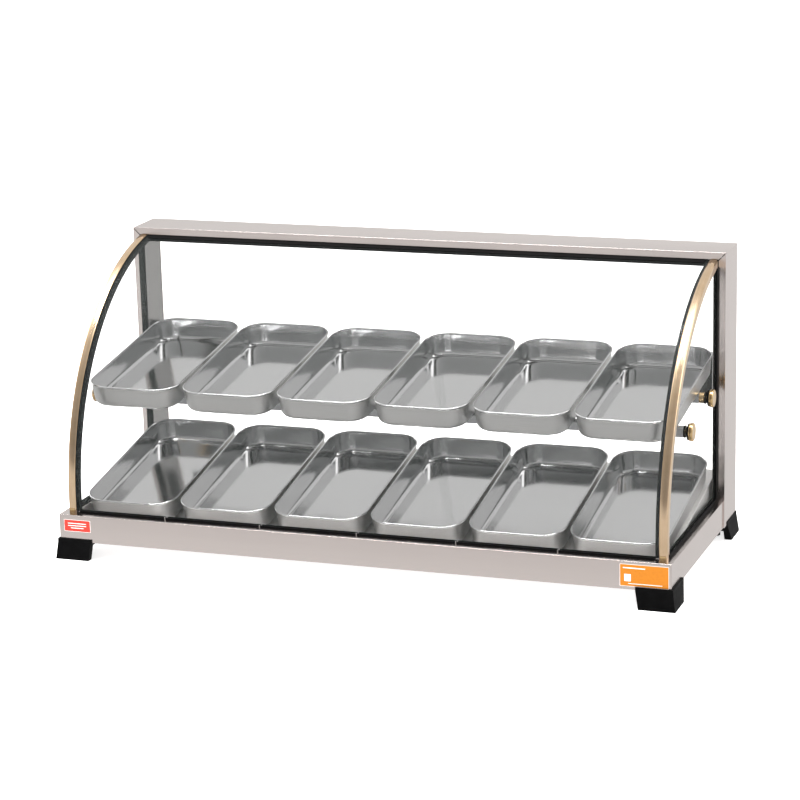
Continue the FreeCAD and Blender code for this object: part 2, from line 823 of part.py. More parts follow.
def make_standoffs():
    """Brass cap screws through the side panes, rubber washers, and brass spacers."""
    outside = d.side_pane_inset
    inside = outside + d.pane_gauge
    caps, washers, spacers = [], [], []
    spots = {"front": (d.front_bar_reach, inside + d.washer_length),
             "rear": (d.rear_bar_reach, inside + d.washer_length + d.spacer_length)}
    for end, (reach, bar_start) in spots.items():
        y, z = bar_centre(reach)
        for name, side in SIDES.items():
            tag = f"{end}_{name}"

            def along(kind, radius, near, far):
                low, high = from_side(side, near, far)
                return rod(f"{kind}_{tag}", "x", radius, high - low, (low, y, z))

            cap_start = outside - d.washer_length - d.cap_length
            head = along("cap_head", d.cap_radius, cap_start, outside - d.washer_length)
            stud_end = bar_start + d.stud_engagement
            stud = along("cap_stud", d.stud_radius, outside - d.washer_length, stud_end)
            caps.append(fuse(f"cap_{tag}", [head, stud]))
            for where, near in {"outer": outside - d.washer_length, "inner": inside}.items():
                radius = d.washer_radius if where == "outer" else d.spacer_radius + 1
                disc = along(f"washer_{where}", radius, near, near + d.washer_length)
                bore = along(f"washer_bore_{where}", d.stud_radius, near,
                             near + d.washer_length)
                washers.append(cut(f"washer_{where}_{tag}_ring", disc, bore))
            if end == "rear":
                start = inside + d.washer_length
                tube = along("spacer_tube", d.spacer_radius, start, bar_start)
                bore = along("spacer_bore", d.stud_radius, start, bar_start)
                spacers.append(cut(f"spacer_{tag}", tube, bore))
    keep(group("standoff_caps", caps), "standoff_caps")
    keep(group("standoff_washers", washers), "standoff_washers")
    keep(group("standoff_spacers", spacers), "standoff_spacers")
    return spots


def drill_side_panes(spots):
    """Holes through the side panes for the standoff studs."""
    for name, side in SIDES.items():
        label = f"side_glass_{name}"
        pane = next(piece for piece in subparts if piece.Label == label)
        subparts.remove(pane)
        pane.Label = label + "_blank"
        low, high = from_side(side, d.side_pane_inset, d.side_pane_inset + d.pane_gauge)
        holes = []
        for end, (reach, _) in spots.items():
            y, z = bar_centre(reach)
            holes.append(rod(f"{label}_{end}_hole", "x", d.stud_radius, high - low, (low, y, z)))
        keep(cut(label + "_drilled", pane, holes), label)


# ---------------------------------------------------------------- food pans


def rounded_rectangle(sketch, width, near, far, corner):
    """A rectangle with round corners, symmetric about the sketch's vertical axis."""
    side = width / 2
    points = [
        (-side + corner, near), (side - corner, near),
        (side, near + corner), (side, far - corner),
        (side - corner, far), (-side + corner, far),
        (-side, far - corner), (-side, near + corner),
    ]
    arcs = {
        1: (corner, (side - corner, near + corner)),
        3: (corner, (side - corner, far - corner)),
        5: (corner, (-side + corner, far - corner)),
        7: (corner, (-side + corner, near + corner)),
    }
    outline(sketch, points, arcs)


def pan_block(name, inset, depth, radius):
    """A solid of the pan's form: drafted walls below the rim and a rounded floor."""
    body = doc.addObject("PartDesign::Body", name)
    sketch = new_sketch(body, "XY_Plane", name + "_top")
    rounded_rectangle(sketch, d.pan_width - 2 * inset, inset, d.pan_length - inset,
                      d.pan_corner - inset)
    prism = body.newObject("PartDesign::Pad", name + "_prism")
    prism.Profile = sketch
    prism.Reversed = True
    bind(prism, "Length", depth)
    doc.recompute()
    walls = [f"Face{index}" for index, face in enumerate(prism.Shape.Faces, start=1)
             if face.BoundBox.ZLength > depth.value / 2]
    draft = body.newObject("PartDesign::Draft", name + "_draft")
    draft.Base = (prism, walls)
    draft.NeutralPlane = (origin_plane(body, "XY_Plane"), [""])
    draft.Reversed = True
    bind(draft, "Angle", d.pan_draft)
    doc.recompute()
    level = draft.Shape.BoundBox.ZMin + 0.01
    edges = [f"Edge{index}" for index, edge in enumerate(draft.Shape.Edges, start=1)
             if edge.BoundBox.ZMax < level]
    fillet = body.newObject("PartDesign::Fillet", name + "_round")
    fillet.Base = (draft, edges)
    bind(fillet, "Radius", radius)
    body.Tip = fillet
    return body


def make_pan_pattern():
    """A drawn stainless pan with a rolled rim; its origin is the middle of its front rim."""
    bead = d.pan_bead
    gauge = d.pan_gauge
    outside = pan_block("pan_outside", bead, d.pan_depth, d.pan_floor_radius)
    inside = pan_block("pan_inside", bead + gauge, d.pan_depth - gauge,
                       d.pan_floor_radius - gauge)
    body = doc.addObject("PartDesign::Body", "pan_rim")
    path = new_sketch(body, "XY_Plane", "pan_rim_path")
    rounded_rectangle(path, d.pan_width - 2 * bead, bead, d.pan_length - bead,
                      d.pan_corner - bead)
    profile = new_sketch(body, "XZ_Plane", "pan_rim_profile", offset=-(d.pan_length / 2))
    centre = Vector(d.pan_width.value / 2 - bead.value, 0, 0)
    profile.addGeometry(Part.Circle(centre, Vector(0, 0, 1), bead.value), False)
    pin_point(profile, 0, 3, (d.pan_width / 2 - bead, 0))
    index = profile.addConstraint(Sketcher.Constraint("Radius", 0, bead.value))
    profile.setExpression(f"Constraints[{index}]", bead.text)
    roll = body.newObject("PartDesign::AdditivePipe", "pan_rim_roll")
    roll.Profile = profile
    roll.Spine = path
    body.Tip = roll
    return fuse("pan_pattern", [cut("pan_shell", outside, inside), body])


def place_pan(pattern, label, number, rise, setback, tilt):
    """One pan of a row, turned up at its rear to the slope of what it lies on."""
    pan = group(label, [pattern])
    pan.Placement = Placement(Vector(), Rotation(Vector(1, 0, 0), tilt.value))
    bind(pan, "Placement.Rotation.Angle", tilt)
    bind(pan, "Placement.Base.x", (dim(number) - 3.5) * d.pan_pitch)
    bind(pan, "Placement.Base.y", front + setback)
    bind(pan, "Placement.Base.z", rise)
    keep(pan, label)


# ---------------------------------------------------------------- rear doors


track_y = (jamb_rear, jamb_rear + d.track_depth)
inner_leaf_y = track_y[0] + d.inner_leaf_setback
outer_leaf_y = inner_leaf_y + d.leaf_pitch
bottom_groove = base_top + d.track_floor
top_groove = portal_under - 2


def make_track(label, z, groove_z):
    rail = block(label + "_rail", (-half, half), track_y, z)
    margin = (d.groove - d.leaf_gauge) / 2
    grooves = [block(f"{label}_groove_{number}", (-half, half),
                     (leaf_y - margin, leaf_y + d.leaf_gauge + margin), groove_z)
               for number, leaf_y in enumerate((inner_leaf_y, outer_leaf_y), start=1)]
    keep(cut(label, rail, grooves), label)


def make_doors():
    """Two frameless glass leaves: the left one in the outer groove, the right in the inner."""
    make_track("bottom_door_track", (base_top, base_top + d.track_height),
               (bottom_groove, base_top + d.track_height))
    make_track("top_door_track", (portal_under - d.top_track_height, portal_under),
               (portal_under - d.top_track_height, top_groove))
    z = (bottom_groove, top_groove - d.leaf_top_gap)
    spans = {
        "left": ((-half + d.leaf_end_gap, d.leaf_overlap), outer_leaf_y),
        "right": ((-d.leaf_overlap, half - d.leaf_end_gap), inner_leaf_y),
    }
    for name, (span, leaf_y) in spans.items():
        keep(block(f"door_leaf_{name}", span, (leaf_y, leaf_y + d.leaf_gauge), z),
             f"door_glass_{name}")
        face = leaf_y + d.leaf_gauge
        x = from_side(SIDES[name], d.pull_edge, d.pull_edge + d.pull_width)
        middle = (base_top + soffit_under) / 2
        pull_z = (middle - d.pull_height / 2, middle + d.pull_height / 2)
        plate = block(f"pull_plate_{name}", x, (face, face + d.pull_gauge), pull_z)
        rim = d.pull_rim
        dish = block(f"pull_dish_{name}", (x[0] + rim, x[1] - rim),
                     (face + d.pull_floor, face + d.pull_gauge), (pull_z[0] + rim, pull_z[1] - rim))
        keep(cut(f"pull_{name}", plate, dish), f"door_pull_{name}")


# ---------------------------------------------------------------- controls and heating


control_height = base_underside + d.fascia_height / 2
panel_y = (panel_face - d.base_gauge, panel_face)


def make_control_panel():
    """The recessed rear panel with the holes that its controls and the gland pass through."""
    inner = half - d.base_gauge
    plate = block("panel_plate", (-inner, inner), panel_y, (base_underside, flange_z[0]))
    z = control_height
    start = panel_y[0]
    gauge = d.base_gauge
    switch_half = d.switch_width / 2 - 1
    switch_rise = d.switch_height / 2 - 1
    holes = [
        rod("knob_hole", "y", d.shaft_radius + 1, gauge, (d.knob_place, start, z)),
        rod("lamp_hole", "y", d.lamp_radius - 1, gauge, (d.lamp_place, start, z)),
        rod("gland_hole", "y", d.gland_radius - d.gland_thread_gauge, gauge, (d.gland_place, start, z)),
        block("switch_hole", (d.switch_place - switch_half, d.switch_place + switch_half),
              panel_y, (z - switch_rise, z + switch_rise)),
    ]
    keep(cut("rear_control_panel", plate, holes), "rear_control_panel")


def make_thermostat():
    """The thermostat behind the panel, and its knob, whose stub turns in the thermostat."""
    x, z = d.knob_place, control_height
    wide, tall = d.thermostat_half_width, d.thermostat_half_height
    case = block("thermostat_case", (x - wide, x + wide),
                 (panel_y[0] - d.thermostat_depth, panel_y[0]), (z - tall, z + tall))
    depth = d.knob_bore_depth
    bore = rod("thermostat_bore", "y", d.shaft_radius + d.running_gap, depth,
               (x, panel_y[0] - depth, z))
    keep(cut("thermostat", case, bore), "thermostat")
    gap = d.knob_gap
    skirt_y = panel_face + gap
    skirt = rod("knob_skirt", "y", d.knob_radius, 3, (x, skirt_y, z))
    grip = rod("knob_grip", "y", d.knob_radius - 3, d.knob_length - gap, (x, skirt_y, z))
    stub_length = depth - 1 + d.base_gauge + gap
    stub = rod("knob_stub", "y", d.shaft_radius, stub_length, (x, skirt_y - stub_length, z))
    knob = fuse("knob_body", [skirt, grip, stub])
    mark = block("knob_mark", (x - 0.6, x + 0.6),
                 (skirt_y + d.knob_length - gap - 0.8, skirt_y + d.knob_length - gap),
                 (z + 1, z + d.knob_radius))
    keep(cut("thermostat_knob", knob, mark), "thermostat_knob")


def make_switch():
    """The switch housing with its bezel, and the rocker that tips in it."""
    x, z = d.switch_place, control_height
    wide, tall = d.switch_width / 2, d.switch_height / 2
    bezel_face = panel_face + d.switch_bezel_rise
    body = block("switch_body", (x - wide + 1, x + wide - 1), (panel_y[0] - d.switch_depth, panel_face),
                 (z - tall + 1, z + tall - 1))
    bezel = block("switch_bezel", (x - wide, x + wide), (panel_face, bezel_face),
                  (z - tall, z + tall))
    rim = d.switch_bezel
    pocket = block("switch_pocket", (x - wide + rim, x + wide - rim),
                   (panel_y[0] - d.switch_pocket_depth, bezel_face),
                   (z - tall + rim, z + tall - rim))
    housing = fuse("switch_shell", [body, bezel])
    keep(cut("power_switch", housing, pocket), "power_switch")
    rocker = doc.addObject("PartDesign::Body", "rocker")
    sketch = new_sketch(rocker, "XY_Plane", "rocker_outline")
    reach = wide - 3.6
    outline(sketch, [(-reach, 1.6), (0, 0.4), (reach, 1.6), (reach - 1, -4), (-reach + 1, -4)])
    tip = rocker.newObject("PartDesign::Pad", "rocker_pad")
    tip.Profile = sketch
    tip.Midplane = True
    bind(tip, "Length", 2 * (tall - 3))
    rocker.Tip = tip
    rocker.Placement = Placement(Vector(), Rotation(Vector(0, 0, 1), -d.rocker_tilt.value))
    bind(rocker, "Placement.Base.x", x)
    bind(rocker, "Placement.Base.y", panel_face + 1)
    bind(rocker, "Placement.Base.z", z)
    keep(rocker, "switch_rocker")


def make_lamp_and_gland():
    x, z = d.lamp_place, control_height
    lens = rod("lamp_lens", "y", d.lamp_radius, d.lamp_lens_length, (x, panel_face, z))
    body = rod("lamp_body", "y", d.lamp_radius - 1, d.lamp_body_length,
               (x, panel_face - d.lamp_body_length, z))
    keep(fuse("pilot_lamp", [lens, body]), "pilot_lamp")
    x = d.gland_place
    nut = rod("gland_nut", "y", d.gland_radius, d.gland_length, (x, panel_face, z))
    inner_end = (x, panel_face - d.gland_thread_length, z)
    thread = rod("gland_thread", "y", d.gland_radius - d.gland_thread_gauge,
                 d.gland_thread_length, inner_end)
    bore = rod("gland_way", "y", d.gland_bore, d.gland_length + d.gland_thread_length, inner_end)
    keep(cut("cord_gland", fuse("gland_body", [nut, thread]), bore), "cord_gland")


def make_heating():
    """A hairpin tubular element over a reflector, its saddles, and the terminal block."""
    floor = base_underside + d.base_gauge
    length, spread = d.element_half_length, d.element_half_spacing
    reflector_z = (floor, floor + d.reflector_gauge)
    keep(block("reflector_plate", (-d.reflector_half_length, d.reflector_half_length),
               (-d.reflector_half_width, d.reflector_half_width), reflector_z),
         "heat_reflector")
    radius = d.element_radius
    z = reflector_z[1] + d.element_rise + radius
    body = doc.addObject("PartDesign::Body", "element")
    path = new_sketch(body, "XY_Plane", "element_path", offset=z)
    left, right, bend = -length.value, length.value, spread.value
    path.addGeometry(Part.LineSegment(Vector(right, -bend, 0), Vector(left, -bend, 0)), False)
    circle = Part.Circle(Vector(left, 0, 0), Vector(0, 0, 1), bend)
    path.addGeometry(Part.ArcOfCircle(circle, math.pi / 2, 3 * math.pi / 2), False)
    path.addGeometry(Part.LineSegment(Vector(left, bend, 0), Vector(right, bend, 0)), False)
    path.addConstraint(Sketcher.Constraint("Coincident", 0, 2, 1, 2))
    path.addConstraint(Sketcher.Constraint("Coincident", 1, 1, 2, 1))
    pin_point(path, 0, 1, (length, -spread))
    pin_point(path, 0, 2, (-length, -spread))
    pin_point(path, 2, 1, (-length, spread))
    pin_point(path, 2, 2, (length, spread))
    index = path.addConstraint(Sketcher.Constraint("DistanceX", -1, 1, 1, 3, left))
    path.setExpression(f"Constraints[{index}]", (-length).text)
    profile = new_sketch(body, "YZ_Plane", "element_profile", offset=length)
    profile.addGeometry(Part.Circle(Vector(-bend, z.value, 0), Vector(0, 0, 1), radius.value),
                        False)
    pin_point(profile, 0, 3, (-spread, z))
    index = profile.addConstraint(Sketcher.Constraint("Radius", 0, radius.value))
    profile.setExpression(f"Constraints[{index}]", radius.text)
    tube = body.newObject("PartDesign::AdditivePipe", "element_tube")
    tube.Profile = profile
    tube.Spine = path
    body.Tip = tube
    keep(body, "heating_element")
    saddles = []
    reach = d.saddle_half_width
    edge = spread + d.saddle_margin
    for number in (1, 2, 3):
        x = (number - 2) * d.saddle_spacing
        saddle = block(f"saddle_bar_{number}", (x - reach, x + reach), (-edge, edge),
                       (reflector_z[1], z))
        grooves = [rod(f"saddle_groove_{number}_{row}", "x", radius, 2 * reach, (x - reach, y, z))
                   for row, y in enumerate((-spread, spread), start=1)]
        saddles.append(cut(f"saddle_{number}", saddle, grooves))
    keep(group("element_saddles", saddles), "element_saddles")
    x = d.gland_place - d.terminal_offset
    y = panel_y[0] - d.terminal_gap
    keep(block("terminals", (x - d.terminal_length, x), (y - d.terminal_depth, y),
               (floor, floor + d.terminal_height)), "terminal_block")


# ---------------------------------------------------------------- assembly

make_base_housing()
make_heated_deck()
make_bottom()
for side_name, side_sign in SIDES.items():
    make_foot(f"foot_front_{side_name}", side_sign, -1)
    make_foot(f"foot_rear_{side_name}", side_sign, 1)
    make_post(side_name, side_sign)
make_top_beam()
make_jambs_and_soffit()
make_panes()
make_curve_seals()
make_brass_trims()
make_trim_clips()
make_base_gaskets()
make_portal_gaskets()
make_bar("shelf_bar_front", d.front_bar_reach, d.side_pane_inset + d.pane_gauge + d.washer_length)
make_bar("shelf_bar_rear", d.rear_bar_reach,
         d.side_pane_inset + d.pane_gauge + d.washer_length + d.spacer_length)
drill_side_panes(make_standoffs())
pan_pattern = make_pan_pattern()
rows = {
    "lower": (d.lower_rise, d.lower_setback, d.lower_tilt),
    "upper": (d.upper_rise, d.upper_setback, d.upper_tilt),
}
for row_name, (row_rise, row_setback, row_tilt) in rows.items():
    for pan_number in range(1, 7):
        place_pan(pan_pattern, f"pan_{row_name}_{pan_number}", pan_number,
                  row_rise, row_setback, row_tilt)
make_doors()
make_control_panel()
make_thermostat()
make_switch()
make_lamp_and_gland()
make_heating()
doc.recompute()

# ---------------------------------------------------------------- checks and output

for item in doc.Objects:
    if "Invalid" in item.State or "Error" in item.State:
        raise RuntimeError(f"{item.Name} failed: {item.State}")
for piece in subparts:
    if piece.Shape.isNull() or not piece.Shape.isValid() or not piece.Shape.Solids:
        raise RuntimeError(f"{piece.Label} has no valid solid")

os.makedirs("parts", exist_ok=True)
for piece in subparts:
    piece.Shape.exportStep(f"parts/{piece.Label}.step")
print(f"{len(subparts)} pieces written")
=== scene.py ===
import math

import bmesh
import bpy
from mathutils import Matrix, Vector


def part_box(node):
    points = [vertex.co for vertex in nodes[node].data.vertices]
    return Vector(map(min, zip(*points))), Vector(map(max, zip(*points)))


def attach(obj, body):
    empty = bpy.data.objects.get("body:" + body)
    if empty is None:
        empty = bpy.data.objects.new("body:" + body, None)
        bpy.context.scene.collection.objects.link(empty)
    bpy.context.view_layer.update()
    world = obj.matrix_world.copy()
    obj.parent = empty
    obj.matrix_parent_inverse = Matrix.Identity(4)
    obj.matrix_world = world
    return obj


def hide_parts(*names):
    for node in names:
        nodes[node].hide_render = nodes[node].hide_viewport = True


# Looks of a countertop hot food display case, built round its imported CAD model.
# Everything is in metres in the model's own frame: +Z up, the customer's side faces -Y.

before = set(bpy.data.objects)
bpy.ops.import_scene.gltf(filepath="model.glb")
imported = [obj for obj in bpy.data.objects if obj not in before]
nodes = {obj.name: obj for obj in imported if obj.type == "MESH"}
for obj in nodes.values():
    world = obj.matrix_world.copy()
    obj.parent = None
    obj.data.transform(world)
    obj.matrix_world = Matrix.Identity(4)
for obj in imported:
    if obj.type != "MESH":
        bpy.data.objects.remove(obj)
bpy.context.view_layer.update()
MM = 0.001
SIDES = {"left": -1, "right": 1}

# ---------------------------------------------------------------- sizes, from the frame

GLASS_LOW, GLASS_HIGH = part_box("front_glass")
FRAME_LOW, FRAME_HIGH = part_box("base_housing")
PANE_FRONT = GLASS_LOW.y
PANE_BOTTOM = GLASS_LOW.z
BASE_TOP = FRAME_HIGH.z
PANE_RADIUS = 376 * MM
PANE_GAUGE = 4 * MM
PANE_SWEEP = math.radians(82)
TRIM_SWEEP = math.radians(80.5)
CURVE_Y = PANE_FRONT + PANE_RADIUS
CURVE_Z = 89 * MM

# ---------------------------------------------------------------- node helpers


class Nodes:
    """A short way to build one material's node tree."""

    def __init__(self, name):
        self.material = bpy.data.materials.new(name)
        self.material.use_nodes = True
        self.tree = self.material.node_tree
        self.shader = self.tree.nodes["Principled BSDF"]
        self.place = self.add("ShaderNodeTexCoord").outputs["Object"]

    def add(self, kind, **settings):
        node = self.tree.nodes.new(kind)
        for key, value in settings.items():
            setattr(node, key, value)
        return node

    def link(self, source, target):
        self.tree.links.new(source, target)

    def set(self, **values):
        for name, value in values.items():
            self.shader.inputs[name.replace("_", " ")].default_value = value

    def stretched(self, scale):
        mapping = self.add("ShaderNodeMapping")
        mapping.inputs["Scale"].default_value = scale
        self.link(self.place, mapping.inputs["Vector"])
        return mapping.outputs["Vector"]

    def noise(self, scale, detail=4.0, rough=0.55, vector=None):
        texture = self.add("ShaderNodeTexNoise")
        texture.inputs["Scale"].default_value = scale
        texture.inputs["Detail"].default_value = detail
        texture.inputs["Roughness"].default_value = rough
        self.link(vector if vector is not None else self.place, texture.inputs["Vector"])
        return texture.outputs["Fac"]

    def ramp(self, value, stops):
        node = self.add("ShaderNodeValToRGB")
        points = node.color_ramp.elements
        while len(points) < len(stops):
            points.new(0.5)
        for point, (position, colour) in zip(points, stops):
            point.position = position
            point.color = (*colour, 1.0)
        self.link(value, node.inputs["Fac"])
        return node.outputs["Color"]

    def span(self, value, low, high):
        """Maps noise from about 0.3-0.7 to low-high."""
        node = self.add("ShaderNodeMapRange")
        node.inputs["From Min"].default_value = 0.3
        node.inputs["From Max"].default_value = 0.7
        node.inputs["To Min"].default_value = low
        node.inputs["To Max"].default_value = high
        self.link(value, node.inputs["Value"])
        return node.outputs["Result"]

    def math(self, kind, first, second):
        node = self.add("ShaderNodeMath", operation=kind)
        for socket, value in zip(node.inputs, (first, second)):
            if isinstance(value, (int, float)):
                socket.default_value = value
            else:
                self.link(value, socket)
        return node.outputs["Value"]

    def mix(self, factor, first, second):
        node = self.add("ShaderNodeMix", data_type="RGBA")
        self.link(factor, node.inputs["Factor"])
        for socket, value in ((node.inputs[6], first), (node.inputs[7], second)):
            if isinstance(value, tuple):
                socket.default_value = (*value, 1.0)
            else:
                self.link(value, socket)
        return node.outputs[2]

    def bump(self, height, depth, strength=1.0):
        node = self.add("ShaderNodeBump")
        node.inputs["Distance"].default_value = depth
        node.inputs["Strength"].default_value = strength
        self.link(height, node.inputs["Height"])
        self.link(node.outputs["Normal"], self.shader.inputs["Normal"])


def shade(colour, factor):
    return tuple(channel * factor for channel in colour)


def steel(name, colour, rough, grain, depth=0.00002, blotch=0.06, streak=(0.93, 1.05)):
    """Brushed sheet: fine streaks across the stretched axes, cloudy patches, and a painted
    highlight that lightens convex edges.
    """
    kit = Nodes(name)
    kit.set(Metallic=1.0, Specular_IOR_Level=0.5)
    streaks = kit.noise(1.0, detail=8.0, rough=0.7, vector=kit.stretched(grain))
    clouds = kit.noise(9.0, detail=3.0)
    pointed = kit.add("ShaderNodeNewGeometry").outputs["Pointiness"]
    tone = kit.ramp(streaks, [(0.3, shade(colour, streak[0])), (0.7, shade(colour, streak[1]))])
    hazed = kit.mix(kit.span(clouds, 0.0, 0.35), tone, shade(colour, 0.94))
    # Painted highlight: convex edges, found by pointiness, are made lighter than the flat sheet.
    edge = kit.add("ShaderNodeMapRange")
    edge.inputs["From Min"].default_value = 0.52
    edge.inputs["From Max"].default_value = 0.62
    kit.link(pointed, edge.inputs["Value"])
    edge_highlighted = kit.mix(edge.outputs["Result"], hazed, shade(colour, 1.12))
    kit.link(edge_highlighted, kit.shader.inputs["Base Color"])
    grainy = kit.span(streaks, rough * 0.8, rough * 1.25)
    roughness = kit.math("ADD", grainy, kit.span(clouds, 0.0, blotch))
    kit.link(roughness, kit.shader.inputs["Roughness"])
    kit.bump(streaks, depth)
    return kit.material


def brass(name, colour, rough, grain):
    """Lacquered brass: lengthwise polish lines, a little tarnish in patches."""
    kit = Nodes(name)
    kit.set(Metallic=1.0, Coat_Weight=0.25, Coat_Roughness=0.08)
    lines = kit.noise(1.0, detail=6.0, rough=0.65, vector=kit.stretched(grain))
    tarnish = kit.noise(38.0, detail=5.0)
    tone = kit.ramp(lines, [(0.25, shade(colour, 0.88)), (0.75, shade(colour, 1.06))])
    aged = kit.mix(kit.span(tarnish, 0.0, 0.3), tone, (0.52, 0.34, 0.15))
    kit.link(aged, kit.shader.inputs["Base Color"])
    kit.link(kit.span(lines, rough * 0.7, rough * 1.4), kit.shader.inputs["Roughness"])
    kit.bump(lines, 0.00002)
    return kit.material


DUST_LIFT = 0.003


def rubber(name, colour, rough, grain=900.0, depth=0.0001):
    """Moulded rubber: fine pores, dusty haze in broad patches."""
    kit = Nodes(name)
    kit.set(Metallic=0.0, Specular_IOR_Level=0.06)
    pores = kit.noise(grain, detail=3.0)
    dust = kit.noise(45.0, detail=5.0, rough=0.65)
    tone = kit.ramp(dust, [(0.35, colour), (0.8, tuple(c + DUST_LIFT for c in colour))])
    kit.link(tone, kit.shader.inputs["Base Color"])
    kit.link(kit.span(dust, rough - 0.08, rough + 0.1), kit.shader.inputs["Roughness"])
    kit.bump(pores, depth, 0.5)
    return kit.material


def plastic(name, colour, rough, grain=1400.0, depth=0.00006):
    """Moulded plastic: even colour with faint flow marks and a spark-eroded skin."""
    kit = Nodes(name)
    kit.set(Metallic=0.0, Coat_Weight=0.1, Coat_Roughness=0.2)
    skin = kit.noise(grain, detail=2.0)
    flow = kit.noise(60.0, detail=4.0, vector=kit.stretched((1.0, 1.0, 3.0)))
    tone = kit.ramp(flow, [(0.3, shade(colour, 0.9)), (0.7, shade(colour, 1.1))])
    kit.link(tone, kit.shader.inputs["Base Color"])
    kit.link(kit.span(flow, rough * 0.85, rough * 1.2), kit.shader.inputs["Roughness"])
    kit.bump(skin, depth, 0.4)
    return kit.material


PANE_DENSITY = 0.045


def glass(name, tint):
    """Clear glass: nearly open by its low alpha, with a faint cast and wiping haze."""
    kit = Nodes(name)
    kit.set(Metallic=0.0, Alpha=PANE_DENSITY)
    haze = kit.noise(5.0, detail=5.0, vector=kit.stretched((0.6, 1.0, 1.6)))
    tone = kit.ramp(haze, [(0.3, tint), (0.7, shade(tint, 0.85))])
    kit.link(tone, kit.shader.inputs["Base Color"])
    kit.link(kit.span(haze, 0.02, 0.06), kit.shader.inputs["Roughness"])
    return kit.material


def printed(name, colour, rough):
    """A plain coloured film label: slightly mottled ink under a satin laminate."""
    kit = Nodes(name)
    kit.set(Metallic=0.0, Specular_IOR_Level=0.15)
    mottle = kit.noise(350.0, detail=4.0)
    tone = kit.ramp(mottle, [(0.3, shade(colour, 0.93)), (0.7, shade(colour, 1.05))])
    kit.link(tone, kit.shader.inputs["Base Color"])
    kit.link(kit.span(mottle, rough * 0.9, rough * 1.1), kit.shader.inputs["Roughness"])
    kit.bump(mottle, 0.00001, 0.3)
    return kit.material


STEEL_TONE = (0.70, 0.635, 0.61)
# Painted shade: the jambs and the beam's soffit get this darker copy of the steel tone.
JAMB_PAINTED_SHADE_TONE = (0.30, 0.29, 0.285)
# Noise cells to the metre on each axis: few along the grain, many across it.
ALONG_X = (3.0, 2200.0, 2200.0)
ALONG_Z = (2200.0, 2200.0, 3.0)
materials = {
    "steel_x": steel("steel_brushed_along", STEEL_TONE, 0.17, ALONG_X),
    "steel_z": steel("steel_brushed_upright", STEEL_TONE, 0.17, ALONG_Z),
    # Painted shade: a darkened copy of the brushed steel for the jambs and soffit.
    "jamb": steel("jamb_steel_painted_shade", JAMB_PAINTED_SHADE_TONE, 0.16, (110.0, 110.0, 0.4), depth=0.00006,
                  streak=(0.35, 1.7)),
    "deck": steel("deck_steel", (0.78, 0.765, 0.755), 0.44, ALONG_X),
    "pan": steel("pan_steel", (0.68, 0.68, 0.685), 0.07, (900.0, 14.0, 900.0), blotch=0.05),
    "pan_outside": steel("pan_satin_steel", (0.64, 0.635, 0.63), 0.32, (14.0, 900.0, 900.0)),
    "bar": steel("bar_steel", (0.36, 0.36, 0.37), 0.3, ALONG_X),
    "bright": steel("bright_steel", (0.78, 0.77, 0.76), 0.14, ALONG_X),
    "element": steel("element_sheath", (0.32, 0.27, 0.25), 0.45, (400.0, 400.0, 400.0)),
    "aluminium": steel("track_aluminium", (0.76, 0.76, 0.77), 0.3, ALONG_X),
    "brass": brass("brass_strip", (0.84, 0.63, 0.43), 0.17, (900.0, 6.0, 6.0)),
    "brass_turned": brass("brass_turned", (0.80, 0.57, 0.30), 0.2, (2.0, 700.0, 700.0)),
    "seal": rubber("black_seal", (0.002, 0.002, 0.0022), 0.55),
    "foot": rubber("foot_rubber", (0.0015, 0.0015, 0.0017), 0.55),
    "black_plastic": plastic("black_plastic", (0.022, 0.022, 0.024), 0.38),
    "red_plastic": plastic("red_plastic", (0.55, 0.03, 0.025), 0.25),
    "cream_plastic": plastic("cream_plastic", (0.78, 0.74, 0.62), 0.45),
    "amber_lens": plastic("amber_lens", (0.85, 0.34, 0.05), 0.12),
    "glass": glass("clear_glass", (0.25, 0.275, 0.265)),
    "label_red": printed("label_red", (0.55, 0.045, 0.032), 0.5),
    "label_orange": printed("label_orange", (0.52, 0.175, 0.012), 0.5),
    "label_pale": printed("label_pale", (0.88, 0.86, 0.82), 0.4),
}

# ---------------------------------------------------------------- mesh helpers


def new_piece(name, points, faces, material, body, sharp=35.0, replaces=()):
    """A mesh piece that rides on a body and may stand for CAD nodes."""
    mesh = bpy.data.meshes.new(name)
    mesh.from_pydata([tuple(point) for point in points], [], faces)
    tidy = bmesh.new()
    tidy.from_mesh(mesh)
    bmesh.ops.recalc_face_normals(tidy, faces=tidy.faces)
    tidy.to_mesh(mesh)
    tidy.free()
    mesh.shade_smooth()
    mesh.set_sharp_from_angle(angle=math.radians(sharp))
    mesh.materials.append(materials[material])
    piece = bpy.data.objects.new(name, mesh)
    bpy.context.scene.collection.objects.link(piece)
    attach(piece, body)
    if replaces:
        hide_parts(*replaces)
    return piece


def bridged(rings, capped=True):
    """Points and faces of a skin over rings of equal length."""
    count = len(rings[0])
    points = [point for ring in rings for point in ring]
    faces = []
    for row in range(len(rings) - 1):
        for index in range(count):
            after = (index + 1) % count
            faces.append((row * count + index, row * count + after,
                          (row + 1) * count + after, (row + 1) * count + index))
    if capped:
        last = (len(rings) - 1) * count
        faces.append(tuple(range(count)))
        faces.append(tuple(last + index for index in range(count)))
    return points, faces


def gathered(parts):
    """One list of points and one of faces out of several (points, faces) pairs."""
    points, faces = [], []
    for more_points, more_faces in parts:
        shift = len(points)
        points += more_points
        faces += [tuple(index + shift for index in face) for face in more_faces]
    return points, faces


def curve_path(bottom, sweep, steps=72):
    """Stations along the front pane's outer face: ((y, z), outward (y, z))."""
    stations = [((PANE_FRONT, bottom), (-1.0, 0.0))]
    for step in range(steps + 1):
        angle = sweep * step / steps
        outward = (-math.cos(angle), math.sin(angle))
        stations.append(((CURVE_Y + PANE_RADIUS * outward[0],
                          CURVE_Z + PANE_RADIUS * outward[1]), outward))
    return stations


